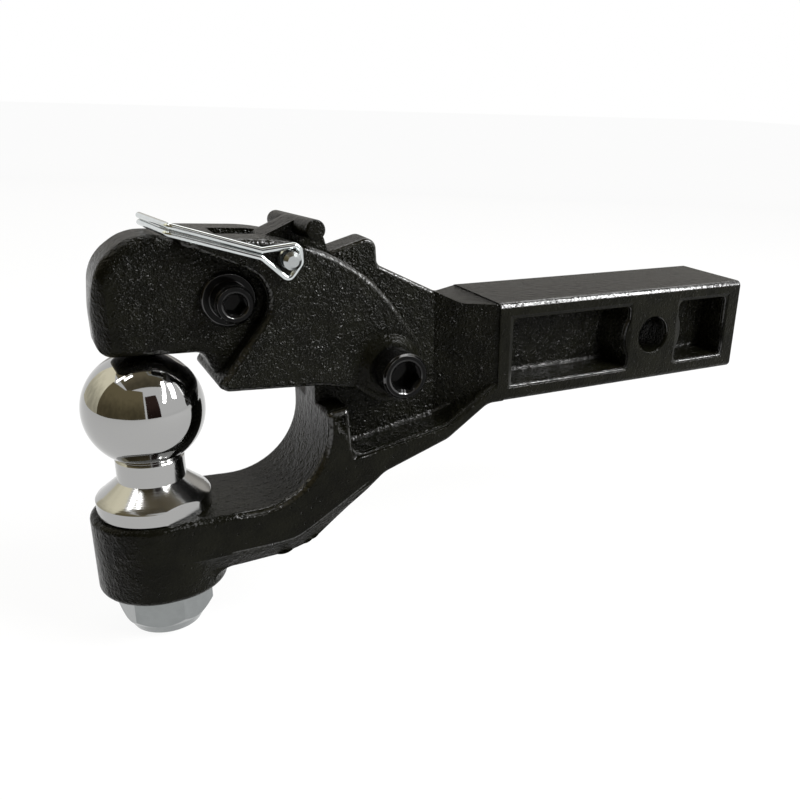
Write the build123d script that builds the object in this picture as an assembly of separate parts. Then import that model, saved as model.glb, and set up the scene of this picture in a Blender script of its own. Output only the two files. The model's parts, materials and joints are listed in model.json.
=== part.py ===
from build123d import *
import math
import os

# Duckbill hitch: a pintle jaw combined with a tow ball on a square shank.
# Millimetres. Origin on the hitch-pin hole axis at the shank centre, +X along the
# shank towards its free end, +Z up, the object is symmetric about Y = 0.

# Running and fitting clearances, each on the radius or on one face
RUN = 0.05
FIT = 0.25
SLOT_GAP = 0.25
THREAD_GAP = 0.02

# Shank
SHANK_W = 50.0
SHANK_END = 61.0
SHANK_START = -97.0
SHANK_EDGE_R = 3.0
HITCH_HOLE_D = 19.5
HITCH_HOLE_CHAMFER = 0.6
WEB_T = 16.0
POCKET_TOP = 17.2
POCKET_BOTTOM = -16.8
POCKET_LEFT = -89.5
POCKET_RIGHT = 51.4
COLUMN_HALF = 16.2
COLUMN_R = 18.6
COLUMN_ROOT_R = 25.0
POCKET_DRAFT = 6.5
POCKET_CORNER_R = 3.0

# Neck between shank and head
NECK_INSET = 1.4
NECK_TOP = 24.4
NECK_START = -124.0

# Throat and horn
THROAT_X = -184.4
THROAT_FLOOR = -60.5
THROAT_R = 34.0
THROAT_EDGE_R = 3.0
BOTTOM_EDGE_R = 2.0

# Bevel along the lower edge of the chord, on the side face and on the underside
BEVEL_UP = 8.4
BEVEL_IN = 4.6
BEVEL_END = -159.5

# Ball seat on the horn
BALL_X = -257.4
HORN_X = -258.5
HORN_R = 26.0
HORN_TOP = -58.0
HORN_BOTTOM = -95.0
HORN_LONG = 3.5
HORN_ROOT_R = 6.5
CHORD_LOW = -85.4
STUD_D = 24.0

# Lug on the head that the lock lever bears on
LUG_FRONT_X = -175.6
LUG_FRONT_Z = 51.2

# Upper jaw
JAW_W = 46.0
BEAK_W = 27.0
BEAK_EDGE_R = 5.5
BEAK_FRONT = -274.0
BEAK_LOW = 13.4
BEAK_HEEL = -2.4
CHEEK_EDGE_R = 2.8
JAW_PIVOT = (-153.7, 0.6)
CHEEK_END_R = 18.0
BOSS_ROOT_R = 15.6
BOSS_TOP_R = 11.8
BOSS_H = 3.6
LOCK_PIVOT = (-222.0, 35.2)

# Step from the cheek down to the beak: two straight runs round the lock pivot, angles in degrees
STEP_R = 14.5
STEP_UP = 24.2
STEP_DOWN = 52.0

# Jaw pivot: M14 socket screw on a sleeve that turns in a pressed bush
JAW_BOLT_D = 14.0
JAW_HEAD_D = 21.0
JAW_HEAD_H = 14.0
JAW_HEX = 12.0
JAW_SLEEVE_D = 18.0
JAW_BUSH_D = 22.0
JAW_WASHER_D = 28.0
JAW_WASHER_T = 2.5
JAW_NUT_AF = 21.0
JAW_NUT_H = 14.0

# Lock pivot: M10 socket screw
LOCK_BOLT_D = 10.0
LOCK_HEAD_D = 16.0
LOCK_HEAD_H = 10.0
LOCK_HEX = 8.0
LOCK_SLEEVE_D = 13.0
LOCK_BUSH_D = 16.0
LOCK_WASHER_D = 23.0
LOCK_WASHER_T = 2.0
LOCK_NUT_AF = 16.0
LOCK_NUT_H = 10.0

# Lock lever
LEVER_T = 15.8
LEVER_HUB_R = 11.5
BAR_D = 8.4
BAR_L = 50.0
# The T-bar as it is welded in, its two ends as (x, z)
BAR_NEAR = (-187.0, 63.5)
BAR_FAR = (-189.0, 61.1)
OPEN_ANGLE = 28.0
LUG_GAP = 1.0

# Lock spring
SPRING_WIRE = 1.4
SPRING_R = 8.6
SPRING_COILS = 2
SPRING_POCKET_R = 14.5
SPRING_JAW_TAIL = 11.8
SPRING_PITCH = 1.2 * SPRING_WIRE
SPRING_ROOM = (SPRING_COILS + 0.25) * SPRING_PITCH + SPRING_WIRE + 2 * FIT

# Safety pin and wire bail
PIN_AXIS = (-199.3, 52.5)
PIN_D = 6.0
PIN_FLANGE_D = 8.6
PIN_FLANGE_T = 2.0
PIN_HEAD_D = 7.6
PIN_HEAD_H = 9.0
PIN_GROOVE_D = 4.4
PIN_TAIL = 4.0
BAIL_WIRE = 2.6
BAIL_PITCH = 2.8
BAIL_BEND_R = 2.4
BAIL_BEND = (-45.2, 13.0)
BAIL_BEND_Y = -JAW_W / 2 + 1.0
BAIL_END = (-49.8, 12.6)
BAIL_END_Y = 13.0

# Tow ball
BALL_D = 50.0
BALL_Z = -11.8
BALL_NECK_D = 28.6
BALL_GROOVE_D = 27.0
COLLAR_D = 48.0
COLLAR_TOP = -50.9
CONE_TOP = -43.4
FLAT_AF = 45.0
FLAT_TURN = -70.0
BALL_NUT_AF = 36.0
BALL_NUT_H = 21.0
BALL_NUT_CROWN = 5.5
BALL_NUT_TURN = 42.0


def rounded_wire(points):
    """Closed outline of (x, y, corner radius) points, as a face in the local XY plane."""
    count = len(points)
    ends = []
    for i in range(count):
        ax, ay = points[i - 1][0], points[i - 1][1]
        bx, by, r = points[i]
        cx, cy = points[(i + 1) % count][0], points[(i + 1) % count][1]
        ux, uy = ax - bx, ay - by
        vx, vy = cx - bx, cy - by
        lu = math.hypot(ux, uy)
        lv = math.hypot(vx, vy)
        ux, uy, vx, vy = ux / lu, uy / lu, vx / lv, vy / lv
        dot = max(-1.0, min(1.0, ux * vx + uy * vy))
        half = math.acos(dot) / 2
        if r <= 0 or abs(half - math.pi / 2) < 1e-4:
            ends.append(((bx, by), None, (bx, by)))
            continue
        cut = r / math.tan(half)
        mx, my = ux + vx, uy + vy
        lm = math.hypot(mx, my)
        centre = r / math.sin(half)
        ox, oy = bx + mx / lm * centre, by + my / lm * centre
        mid = (ox - mx / lm * r, oy - my / lm * r)
        ends.append(((bx + ux * cut, by + uy * cut), mid, (bx + vx * cut, by + vy * cut)))
    edges = []
    for i in range(count):
        start, mid, stop = ends[i]
        if mid is not None:
            edges.append(ThreePointArc(start, mid, stop))
        after = ends[(i + 1) % count][0]
        if math.hypot(after[0] - stop[0], after[1] - stop[1]) > 1e-6:
            edges.append(Line(stop, after))
    return make_face(edges)


def side_plate(points, half):
    """Prism of an XZ outline, from Y = -half to Y = +half."""
    return extrude(Plane.XZ * rounded_wire(points), half, both=True)


def cross_cylinder(at, radius, y_from, y_to):
    """Cylinder along Y through an (x, z) point."""
    disc = Plane(origin=(at[0], y_from, at[1]), x_dir=(1, 0, 0), z_dir=(0, 1, 0)) * Circle(radius)
    return extrude(disc, y_to - y_from)


def cross_cone(at, r_from, r_to, y_from, y_to):
    """Frustum along Y through an (x, z) point."""
    first = Plane(origin=(at[0], y_from, at[1]), x_dir=(1, 0, 0), z_dir=(0, 1, 0)) * Circle(r_from)
    last = Plane(origin=(at[0], y_to, at[1]), x_dir=(1, 0, 0), z_dir=(0, 1, 0)) * Circle(r_to)
    return loft([first, last])


def turned(profile, at_x):
    """Solid of revolution about a vertical axis from (radius, z) points."""
    face = make_face(Polyline(*profile, close=True))
    solid = revolve(Plane.XZ * face, Axis.Z)
    return Pos(at_x, 0, 0) * solid


def turned_across(profile, at):
    """Solid of revolution about a Y axis through (x, z), from (radius, y) points."""
    face = make_face(Polyline(*profile, close=True))
    solid = revolve(face, Axis.Y)
    return Pos(at[0], 0, at[1]) * solid


def seen_from_lever(point, angle):
    """Where a fixed (x, z) point lies in the lever's frame once the jaw is open by angle."""
    def turn(p, centre, degrees):
        a = math.radians(degrees)
        dx, dz = p[0] - centre[0], p[1] - centre[1]
        return (
            centre[0] + dx * math.cos(a) + dz * math.sin(a),
            centre[1] - dx * math.sin(a) + dz * math.cos(a),
        )
    in_jaw = turn(point, JAW_PIVOT, -angle)
    return turn(in_jaw, LOCK_PIVOT, angle)


def make_pocket(x_from, x_to, side):
    """Drafted pocket in one side of the shank, from the outer face down to the web."""
    half = SHANK_W / 2
    depth = half - WEB_T / 2
    plane = Plane(origin=(0, side * half, 0), x_dir=(1, 0, 0), z_dir=(0, -1, 0))
    if side > 0:
        plane = Plane(origin=(0, half, 0), x_dir=(1, 0, 0), z_dir=(0, 1, 0))
    sign = 1 if side < 0 else -1
    low, high = POCKET_BOTTOM, POCKET_TOP
    if side > 0:
        low, high = -POCKET_TOP, -POCKET_BOTTOM
    face = rounded_wire([
        (x_from, low, POCKET_CORNER_R),
        (x_to, low, POCKET_CORNER_R),
        (x_to, high, POCKET_CORNER_R),
        (x_from, high, POCKET_CORNER_R),
    ])
    return extrude(plane * face, -depth, taper=POCKET_DRAFT)


def make_bevel(side):
    """Wedge cut along the chord's lower edge on one side: full size at the horn, nothing at the neck."""
    y = side * SHANK_W / 2
    # x and z on the lower edge, direction into the chord in degrees, share of the full bevel
    stations = [
        (HORN_X + 8, CHORD_LOW, 90, 1.0),
        (-226.0, CHORD_LOW, 91, 1.0),
        (-209.8, CHORD_LOW + 0.65, 94, 1.0),
        (-202.3, -83.5, 106, 0.95),
        (-196.9, -81.9, 107, 0.92),
        (-193.2, -80.4, 118, 0.90),
        (-189.9, -78.2, 129, 0.85),
        (-175.0, -66.2, 129, 0.60),
        (-165.0, -58.1, 129, 0.25),
        (BEVEL_END, -53.5, 129, 0.03),
    ]
    sections = []
    for x, z, degrees, share in stations:
        nx = math.cos(math.radians(degrees))
        nz = math.sin(math.radians(degrees))
        up = BEVEL_UP * share
        deep = BEVEL_IN * share
        sections.append(Wire.make_polygon([
            Vector(x + nx * up, y, z + nz * up),
            Vector(x, y - side * deep, z),
            Vector(x - nx, y + side, z - nz),
        ]))
    return Solid.make_loft(sections, ruled=True)


def make_chord():
    """Lower chord, throat flange and root of the horn: the full width of the shank."""
    half = SHANK_W / 2
    ledge_x = THROAT_X + 10.4
    chord = side_plate([
        (SHANK_START + 4, -14.0, 0),
        (SHANK_START - 1, -14.5, 0),
        (-124.5, -32.0, 14),
        (ledge_x + 1.7, -40.4, 5),
        (ledge_x, -16.0, 1.5),
        (THROAT_X, -17.5, 2.5),
        (THROAT_X, THROAT_FLOOR, THROAT_R),
        (HORN_X + 22, HORN_TOP, 8),
        (HORN_X, HORN_TOP, 0),
        (HORN_X, CHORD_LOW, 0),
        (-227.0, CHORD_LOW, 0),
        (-206.0, CHORD_LOW + 0.8, 30),
        (-193.0, -80.8, 20),
        (-157.0, -51.5, 14),
        (-123.5, -40.1, 12),
        (-101.5, -half, 10),
        (SHANK_START + 4, -half, 0),
    ], half)

    def on_side(edge):
        return abs(abs(edge.center().Y) - half) < 0.01

    lower_neck_edges = [
        e for e in chord.edges()
        if on_side(e) and BEVEL_END < e.center().X < SHANK_START + 3
        and e.center().Z < -20.0 + 0.5 * (e.center().X + 98)
    ]
    chord = fillet(lower_neck_edges, BOTTOM_EDGE_R)
    chord -= make_bevel(-1) + make_bevel(1)
    throat_edges = [
        e for e in chord.edges()
        if on_side(e) and HORN_X + 20 < e.center().X < THROAT_X + 1 and -62 < e.center().Z < -18
    ]
    return fillet(throat_edges, THROAT_EDGE_R)


def make_horn():
    """Round boss that carries the ball, with the concave root where it leaves the chord."""
    plan = Pos(HORN_X + HORN_LONG / 2, 0, HORN_BOTTOM) * SlotCenterToCenter(HORN_LONG, 2 * HORN_R)
    horn = extrude(plan, HORN_TOP - HORN_BOTTOM)
    horn = fillet(horn.faces().sort_by(Axis.Z)[-1].edges(), 2.5)
    horn = fillet(horn.faces().sort_by(Axis.Z)[0].edges(), 3.0)

    root = HORN_ROOT_R
    outer = HORN_R + root
    low = CHORD_LOW - root
    slant = root * math.sqrt(0.5)
    arc = ThreePointArc((HORN_R, low), (outer - slant, low + slant), (outer, CHORD_LOW))
    rest = Polyline((outer, CHORD_LOW), (outer, CHORD_LOW + 1), (0, CHORD_LOW + 1), (0, low), (HORN_R, low))
    flare = revolve(Plane.XZ * make_face([arc] + list(rest.edges())), Axis.Z)
    flat_half = SHANK_W / 2 - BEVEL_IN
    flare = flare & Pos(outer / 2, 0, CHORD_LOW) * Box(outer, 2 * flat_half, 4 * root)
    return horn + Pos(HORN_X + HORN_LONG, 0, 0) * flare


def make_web():
    """Central web with the neck's upper slope and the lug that the lock lever bears on."""
    web = WEB_T / 2
    plate = side_plate([
        (SHANK_START + 4, NECK_TOP, 0),
        (-112.9, NECK_TOP, 10),
        (-152.8, 44.0, 3.5),
        (-153.5, 57.6, 5.0),
        (LUG_FRONT_X, LUG_FRONT_Z, 1.0),
        (-180.0, 43.0, 4),
        (THROAT_X, 14.0, 10),
        (THROAT_X, -30.0, 0),
        (THROAT_X + 5.4, -42.0, 0),
        (-124.5, -34.0, 0),
        (SHANK_START + 4, -18.0, 0),
    ], web)
    top_edges = [
        e for e in plate.edges()
        if abs(abs(e.center().Y) - web) < 0.01 and e.center().Z > NECK_TOP + 0.2 and e.center().X > -177
    ]
    return fillet(top_edges, 2.0)


def make_neck():
    """Wedge that narrows from the shank's width to the web."""
    half = SHANK_W / 2 - NECK_INSET
    web = WEB_T / 2
    plan = [
        (NECK_START, -web), (SHANK_START, -half), (SHANK_START + 5, -half),
        (SHANK_START + 5, half), (SHANK_START, half), (NECK_START, web),
    ]
    neck = extrude(make_face(Polyline(*plan, close=True)), 60, both=True)
    return neck & side_plate([
        (SHANK_START + 5, NECK_TOP, 0),
        (-112.9, NECK_TOP, 10),
        (-126.0, 30.8, 0),
        (-126.0, -36.0, 0),
        (-101.5, -23.0, 10),
        (SHANK_START + 5, -23.0, 0),
    ], SHANK_W / 2)


def make_hitch_body():
    half = SHANK_W / 2
    web = WEB_T / 2
    shank = Pos((SHANK_END + SHANK_START) / 2, 0, 0) * Box(SHANK_END - SHANK_START, SHANK_W, SHANK_W)
    shank = fillet(shank.edges().filter_by(Axis.X), SHANK_EDGE_R)
    shank = fillet(shank.faces().sort_by(Axis.X)[-1].edges(), 1.2)
    body = shank + make_chord() + make_horn() + make_web() + make_neck()

    for side in (-1, 1):
        pockets = make_pocket(POCKET_LEFT, -COLUMN_HALF, side)
        pockets += make_pocket(COLUMN_HALF, POCKET_RIGHT, side)
        pockets -= cross_cone((0, 0), COLUMN_ROOT_R, COLUMN_R, side * web, side * half)
        body -= pockets

    hole_r = HITCH_HOLE_D / 2
    body -= cross_cylinder((0, 0), hole_r, -half - 1, half + 1)
    for side in (-1, 1):
        outer = side * (half + HITCH_HOLE_CHAMFER)
        inner = side * (half - HITCH_HOLE_CHAMFER)
        body -= cross_cone((0, 0), hole_r + 2 * HITCH_HOLE_CHAMFER, hole_r, outer, inner)
    body -= cross_cylinder(JAW_PIVOT, JAW_BUSH_D / 2, -web - 1, web + 1)
    stud_r = STUD_D / 2 + FIT
    body -= Pos(BALL_X, 0, (HORN_TOP + HORN_BOTTOM) / 2) * Cylinder(stud_r, 60)
    return body


def hex_socket(at, face_y, across, depth):
    """Hexagon socket entering along +Y at face_y, with a lead-in cone."""
    corner_r = across / math.sqrt(3)
    plane = Plane(origin=(at[0], face_y, at[1]), x_dir=(1, 0, 0), z_dir=(0, 1, 0))
    hexagon = extrude(plane * RegularPolygon(corner_r, 6, rotation=12), depth)
    lead = cross_cone(at, corner_r + 0.4, corner_r - 1.0, face_y, face_y + 1.4)
    return hexagon + lead


def socket_screw(at, head_y, head_d, head_h, shank_d, end_y, across):
    """Socket-head screw along Y: head outer face at head_y, shank ends at end_y."""
    r = head_d / 2
    s = shank_d / 2
    screw = turned_across([
        (0, head_y), (r - 1.0, head_y), (r, head_y + 1.0), (r, head_y + head_h),
        (s, head_y + head_h), (s, end_y - 1.2), (s - 1.2, end_y), (0, end_y),
    ], at)
    return screw - hex_socket(at, head_y, across, head_h * 0.55)


def washer_across(at, outer_d, inner_d, y_from, y_to):
    """Plain washer round a Y axis with broken edges."""
    outer, inner = outer_d / 2, inner_d / 2
    return turned_across([
        (inner, y_from), (outer - 0.4, y_from), (outer, y_from + 0.4),
        (outer, y_to - 0.4), (outer - 0.4, y_to), (inner, y_to),
    ], at)


def lock_nut(across, bore_d, height, crown):
    """Prevailing-torque nut seated on Z = 0, with the room for its insert. Returns nut, insert."""
    corner = across / math.sqrt(3)
    flat = across / 2
    bore = bore_d / 2
    collar = flat - 0.08 * across
    hex_h = height - crown
    nut = extrude(RegularPolygon(corner, 6), hex_h)
    dome = revolve(Plane.XZ * make_face(Polyline(
        (0, 0), (corner - 0.9, 0), (corner + 0.3, 1.0), (corner + 0.3, hex_h - 0.1 * across),
        (flat + 0.05, hex_h), (0, hex_h), close=True)), Axis.Z)
    nut = nut & dome
    crown_ring = revolve(Plane.XZ * make_face(Polyline(
        (0, hex_h - 1), (flat - 0.2, hex_h - 1), (flat - 0.2, hex_h), (collar, height - 0.8),
        (collar - 1.2, height), (0, height), close=True)), Axis.Z)
    nut += crown_ring
    nut -= Cylinder(bore + THREAD_GAP, 4 * height)
    ring_r = (bore + collar) / 2 + 0.4
    room_low = hex_h + 0.15 * crown
    room_high = height - 0.9
    room = Pos(0, 0, (room_low + room_high) / 2) * Cylinder(ring_r, room_high - room_low)
    nut -= room
    insert = room - Cylinder(bore + THREAD_GAP, 4 * height)
    return nut, insert


def across_axis(shape, at, y_seat, turn):
    """Place a part built on Z = 0 so that it stands on the plane y_seat and grows along +Y."""
    return Pos(at[0], y_seat, at[1]) * Rot(-90, 0, 0) * Rot(0, 0, turn) * shape


def crossing(a, a_degrees, b, b_degrees):
    """Point where a line through a meets a line through b, directions in degrees."""
    ax, az = math.cos(math.radians(a_degrees)), math.sin(math.radians(a_degrees))
    bx, bz = math.cos(math.radians(b_degrees)), math.sin(math.radians(b_degrees))
    t = ((b[0] - a[0]) * bz - (b[1] - a[1]) * bx) / (ax * bz - az * bx)
    return (a[0] + ax * t, a[1] + az * t)


def make_cheeks():
    """Side walls of the jaw from the beak's shoulder to the pivot end."""
    half = JAW_W / 2
    end_x = JAW_PIVOT[0] + CHEEK_END_R
    end_low = JAW_PIVOT[1] - CHEEK_END_R

    # the step down to the beak is tangent to a circle round the lock pivot
    low_tangent = math.radians(STEP_DOWN - 90)
    up_tangent = math.radians(90 - STEP_UP)
    low_point = (
        LOCK_PIVOT[0] + STEP_R * math.cos(low_tangent),
        LOCK_PIVOT[1] + STEP_R * math.sin(low_tangent),
    )
    up_point = (
        LOCK_PIVOT[0] + STEP_R * math.cos(up_tangent),
        LOCK_PIVOT[1] + STEP_R * math.sin(up_tangent),
    )
    top_start = (-212.0, 60.6)
    top_slope = -2.6
    corner = crossing(low_point, STEP_DOWN, up_point, 180 - STEP_UP)
    tip = crossing(top_start, top_slope, up_point, 180 - STEP_UP)
    brow = crossing(top_start, top_slope, (end_x, 7.6), -53.5)
    heel = crossing(low_point, STEP_DOWN, (0, BEAK_HEEL + 2.7), 0)

    cheeks = side_plate([
        (tip[0], tip[1], 1.5),
        (brow[0], brow[1], 80),
        (end_x, 7.6, 14),
        (end_x, end_low, CHEEK_END_R - 0.1),
        (-158.5, end_low, 10),
        (-170.0, -8.4, 12),
        (-188.0, -4.8, 30),
        (-226.8, BEAK_HEEL, 4),
        (heel[0], heel[1], 2),
        (corner[0], corner[1], STEP_R),
    ], half)
    side_edges = [e for e in cheeks.edges() if abs(abs(e.center().Y) - half) < 0.01]
    rounded = [
        e for e in side_edges
        if e.center().Z > 12 or (e.center().X < JAW_PIVOT[0] - 50 and e.center().Z > 4)
    ]
    return fillet(rounded, CHEEK_EDGE_R)


def make_beak():
    """Hook over the ball, narrower than the cheeks, rounded in plan and along its edges."""
    half = BEAK_W / 2
    beak = side_plate([
        (-215.0, 60.6, 0),
        (-236.0, 61.3, 60),
        (-257.0, 62.1, 20),
        (BEAK_FRONT + 2.8, 51.8, 20),
        (BEAK_FRONT, 32.0, 40),
        (BEAK_FRONT + 0.4, BEAK_LOW + 0.8, 6.5),
        (-233.2, BEAK_LOW - 0.9, 5),
        (-226.8, BEAK_HEEL, 4),
        (-200.0, BEAK_HEEL - 1.6, 0),
        (-196.0, 40.0, 0),
    ], half)
    edges = [
        e for e in beak.edges()
        if abs(abs(e.center().Y) - half) < 0.01 and e.center().X < -216 and e.center().Z > 5
    ]
    beak = fillet(edges, BEAK_EDGE_R)
    nose_x = BEAK_FRONT + 16.0
    nose = Pos(nose_x, 0, 30) * extrude(Ellipse(16.5, 17.5), 60, both=True)
    nose += Pos(nose_x + 50, 0, 30) * Box(100, 2 * BEAK_W, 160)
    return beak & nose


def make_upper_jaw():
    half = JAW_W / 2
    jaw = make_beak() + make_cheeks()
    for side in (-1, 1):
        jaw += cross_cone(JAW_PIVOT, BOSS_ROOT_R, BOSS_TOP_R, side * (half - 0.5), side * (half + BOSS_H))

    # slot for the web and the lever, open to the rear and through the top
    jaw -= side_plate([
        (-224.3, 90, 0),
        (-224.3, 59.5, 6),
        (-235.6, 46.4, 8),
        (-235.6, 28.0, 8),
        (-221.0, 12.0, 8),
        (-212.5, -2.0, 3),
        (-212.5, -40, 0),
        (-100, -40, 0),
        (-100, 90, 0),
    ], WEB_T / 2 + SLOT_GAP)
    jaw -= cross_cylinder(JAW_PIVOT, JAW_BOLT_D / 2 + RUN, -60, 60)
    jaw -= cross_cylinder(LOCK_PIVOT, LOCK_BOLT_D / 2 + RUN, -60, 60)
    jaw -= cross_cylinder(PIN_AXIS, PIN_D / 2 + FIT, -60, 60)
    return jaw


def make_lock_lever():
    half = LEVER_T / 2
    bar_r = BAR_D / 2
    bar_x = (BAR_NEAR[0] + BAR_FAR[0]) / 2
    bar_z = (BAR_NEAR[1] + BAR_FAR[1]) / 2
    corner = (LUG_FRONT_X, LUG_FRONT_Z)
    relief = []
    for i in range(0, 8):
        px, pz = seen_from_lever(corner, OPEN_ANGLE * i / 7.0)
        qx, qz = seen_from_lever(corner, OPEN_ANGLE * i / 7.0 + 0.5)
        dx, dz = qx - px, qz - pz
        length = math.hypot(dx, dz)
        relief.append((px + dz / length * LUG_GAP, pz - dx / length * LUG_GAP, 0))
    outline = [
        (-221.0, LOCK_PIVOT[1] + LEVER_HUB_R - 0.2, 0),
        (-206.3, 58.6, 12),
        (bar_x - 2.4, bar_z + 3.3, 0),
        (bar_x + 3.9, bar_z + 0.6, 0),
        (-178.0, 57.6, 2.5),
    ] + relief + [
        (-221.0, LOCK_PIVOT[1] - LEVER_HUB_R + 0.3, 0),
    ]
    lever = side_plate(outline, half)
    lever += cross_cylinder(LOCK_PIVOT, LEVER_HUB_R, -half, half)
    near_end = Vector(BAR_NEAR[0], -BAR_L / 2, BAR_NEAR[1])
    far_end = Vector(BAR_FAR[0], BAR_L / 2, BAR_FAR[1])
    along = far_end - near_end
    bar = extrude(Plane(origin=near_end, z_dir=along) * Circle(bar_r), along.length)
    lever += fillet(bar.edges().filter_by(GeomType.CIRCLE), 1.0)
    lever -= cross_cylinder(LOCK_PIVOT, LOCK_BUSH_D / 2, -half - 1, half + 1)

    # window for the safety pin: the lever turns past the pin when the jaw opens
    away = (PIN_AXIS[0] - LOCK_PIVOT[0], PIN_AXIS[1] - LOCK_PIVOT[1])
    reach = math.hypot(*away)
    start = math.degrees(math.atan2(away[1], away[0]))
    stop = start - OPEN_ANGLE
    window_r = PIN_D / 2 + FIT

    def at_angle(radius, degrees):
        a = math.radians(degrees)
        return (LOCK_PIVOT[0] + radius * math.cos(a), LOCK_PIVOT[1] + radius * math.sin(a))

    middle = (start + stop) / 2
    outer = reach + window_r
    inner = reach - window_r
    edges = [
        ThreePointArc(at_angle(outer, start), at_angle(outer, middle), at_angle(outer, stop)),
        Line(at_angle(outer, stop), at_angle(inner, stop)),
        ThreePointArc(at_angle(inner, stop), at_angle(inner, middle), at_angle(inner, start)),
        Line(at_angle(inner, start), at_angle(outer, start)),
    ]
    lever -= extrude(Plane.XZ * make_face(edges), half + 1, both=True)
    for end in (start, stop):
        lever -= cross_cylinder(at_angle(reach, end), window_r, -half - 1, half + 1)

    # room for the coils of the lock spring on the far side of the hub, and for its tail
    lever -= cross_cylinder(LOCK_PIVOT, SPRING_POCKET_R, half - SPRING_ROOM, half + 1)
    return lever


def make_lock_spring():
    """Torsion spring: one tail bears on the lever's arm, the other on the jaw."""
    turns = SPRING_COILS + 0.25
    y_low = LEVER_T / 2 - SPRING_ROOM + SPRING_WIRE / 2 + FIT
    coil = Helix(SPRING_PITCH, SPRING_PITCH * turns, SPRING_R)
    coil = Pos(LOCK_PIVOT[0], y_low, LOCK_PIVOT[1]) * Rot(-90, 0, 0) * coil
    start, stop = coil @ 0, coil @ 1
    outer_r = SPRING_R + SPRING_WIRE / 2
    to_lever = math.sqrt((SPRING_POCKET_R - FIT) ** 2 - outer_r ** 2)
    down, back = coil % 0, coil % 1
    lever_tail = Line(start - Vector(down.X, 0, down.Z).normalized() * to_lever, start)
    jaw_tail = Line(stop, stop + Vector(back.X, 0, back.Z).normalized() * SPRING_JAW_TAIL)
    spring = None
    for run in (lever_tail, coil, jaw_tail):
        profile = Plane(origin=run @ 0, z_dir=run % 0) * Circle(SPRING_WIRE / 2)
        piece = sweep(profile, run)
        spring = piece if spring is None else spring + piece
    return spring


def wire_plane_y():
    """Y of the plane of the bail's eye, in the middle of the groove of the pin."""
    return -JAW_W / 2 - (PIN_FLANGE_T + PIN_HEAD_H) / 2 + 0.8


def make_safety_pin():
    """Plain pin with a flange, a groove for the wire and a cap."""
    half = JAW_W / 2
    r = PIN_D / 2
    cap = PIN_HEAD_D / 2
    flange = PIN_FLANGE_D / 2
    groove = PIN_GROOVE_D / 2
    end = -half - PIN_HEAD_H
    groove_half = BAIL_WIRE / 2 + 0.45
    groove_y = wire_plane_y()
    return turned_across([
        (0, end), (cap - 1.5, end), (cap, end + 1.4), (cap, groove_y - groove_half),
        (groove, groove_y - groove_half), (groove, groove_y + groove_half),
        (cap, groove_y + groove_half), (flange, -half - PIN_FLANGE_T + 0.3),
        (flange, -half - 0.4), (flange - 0.4, -half), (r, -half),
        (r, half + PIN_TAIL - 2.0), (r - 1.6, half + PIN_TAIL), (0, half + PIN_TAIL),
    ], PIN_AXIS)


def make_pin_bail():
    """One wire: an eye round the pin's groove, two legs side by side, ends turned over the beak."""
    y = wire_plane_y()
    x, z = PIN_AXIS
    pitch = BAIL_PITCH / 2
    path = FilletPolyline(
        (x + BAIL_END[0], BAIL_END_Y, z + BAIL_END[1] + pitch),
        (x + BAIL_BEND[0] + 0.3, BAIL_BEND_Y, z + BAIL_BEND[1] + pitch),
        (x - 11.3, y, z + 3.0 + pitch),
        (x + 3.9, y, z + 5.9),
        (x + 4.4, y, z - 1.3),
        (x - 0.9, y, z - 8.3),
        (x - 11.6, y, z + 3.0 - pitch),
        (x + BAIL_BEND[0] - 0.4, BAIL_BEND_Y, z + BAIL_BEND[1] - pitch),
        (x + BAIL_END[0], BAIL_END_Y, z + BAIL_END[1] - pitch),
        radius=BAIL_BEND_R,
    )
    profile = Plane(origin=path @ 0, z_dir=path % 0) * Circle(BAIL_WIRE / 2)
    return sweep(profile, path)


def make_tow_ball():
    r = BALL_D / 2
    neck = BALL_NECK_D / 2
    groove = BALL_GROOVE_D / 2
    collar = COLLAR_D / 2
    stud = STUD_D / 2
    meet = BALL_Z - math.sqrt(r * r - neck * neck)
    end = HORN_BOTTOM - BALL_NUT_H + 1.5
    arc = ThreePointArc((0, BALL_Z + r), (r, BALL_Z), (groove, BALL_Z - math.sqrt(r * r - groove * groove)))
    low = arc @ 1
    rest = Polyline(
        (low.X, low.Y), (groove, meet - 0.6), (neck, meet - 1.6), (neck, CONE_TOP),
        (collar - 0.5, COLLAR_TOP), (collar, COLLAR_TOP - 0.7), (collar, HORN_TOP + 0.8),
        (collar - 0.8, HORN_TOP), (stud, HORN_TOP), (stud, end + 1.5), (stud - 1.5, end), (0, end),
        (0, BALL_Z + r),
    )
    face = make_face([arc] + list(rest.edges()))
    ball = Pos(BALL_X, 0, 0) * revolve(Plane.XZ * face, Axis.Z)
    for turn in (FLAT_TURN, FLAT_TURN + 180):
        a = math.radians(turn)
        distance = FLAT_AF / 2 + 10
        block = Pos(BALL_X + distance * math.cos(a), distance * math.sin(a), HORN_TOP + 5)
        ball -= block * Rot(0, 0, turn) * Box(20, 60, 12)
    return ball


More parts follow.
